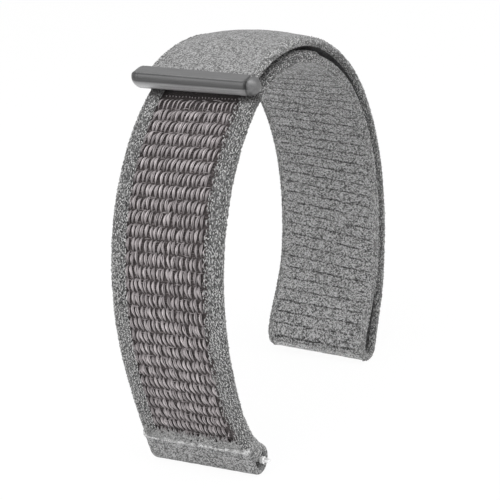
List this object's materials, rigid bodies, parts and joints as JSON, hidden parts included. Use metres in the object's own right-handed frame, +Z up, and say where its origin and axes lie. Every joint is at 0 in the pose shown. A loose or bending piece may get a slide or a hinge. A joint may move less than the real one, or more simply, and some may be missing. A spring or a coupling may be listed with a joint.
{
  "type": "nylon watch strap",
  "caption": "Woven nylon watch strap bent in a closed loop, with loop pile, hook tail, metal end bar and a sprung bar in the hem.",
  "frame": {"origin": "on the surface that the hem and the fold stand on, below the middle of the loop", "axes": "+X across the band, the wearer's side of the loop is open along X; +Y from the front leg with the loop pile towards the rear leg with the fold; +Z up to the crown"},
  "size_m": [0.0242, 0.066, 0.0699],
  "materials": {
    "knit": "fine matt grey knit",
    "pile": "pale loops on a dark ground",
    "hook_tape": "matt moulded hooks",
    "end_metal": "satin dark grey",
    "bar_steel": "bright turned steel"
  },
  "bodies": {
    "crown": {"crown_inner": "knit", "crown_outer": "knit"},
    "front_leg": {"front_ground": "knit", "edge_left": "knit", "edge_right": "knit", "loop_pile": "pile", "hem_sleeve": "knit"},
    "rear_leg": {"rear_inner": "knit", "rear_fold": "knit", "rear_outer": "knit"},
    "tail": {"tail_band": "knit", "hook_pad": "hook_tape", "end_bar": "end_metal", "end_bar_cap_left": "end_metal", "end_bar_cap_right": "end_metal"},
    "spring_bar": {"bar_barrel": "bar_steel", "bar_spring": "bar_steel"},
    "pin_left": {"bar_pin_left": "bar_steel"},
    "pin_right": {"bar_pin_right": "bar_steel"}
  },
  "joints": [
    {"name": "front_flex", "type": "hinge", "parent": "crown", "child": "front_leg", "pos_m": [0, -0.01813, 0.05963], "axis": [1, 0, 0], "range_deg": [-25, 15]},
    {"name": "rear_flex", "type": "hinge", "parent": "crown", "child": "rear_leg", "pos_m": [0, 0.02792, 0.0466], "axis": [1, 0, 0], "range_deg": [-15, 20]},
    {"name": "tail_peel", "type": "hinge", "parent": "crown", "child": "tail", "pos_m": [0, 0.00087, 0.06987], "axis": [-1, 0, 0], "range_deg": [0, 70]},
    {"name": "bar_turn", "type": "hinge", "parent": "front_leg", "child": "spring_bar", "pos_m": [0, -0.02483, 0.00265], "axis": [1, 0, 0], "continuous": true},
    {"name": "pin_left_slide", "type": "slide", "parent": "spring_bar", "child": "pin_left", "axis": [1, 0, 0], "range_m": [0, 0.00185], "stiffness_N_per_m": 1500, "springref_m": -0.0006},
    {"name": "pin_right_slide", "type": "slide", "parent": "spring_bar", "child": "pin_right", "axis": [-1, 0, 0], "range_m": [0, 0.00185], "stiffness_N_per_m": 1500, "springref_m": -0.0006}
  ]
}
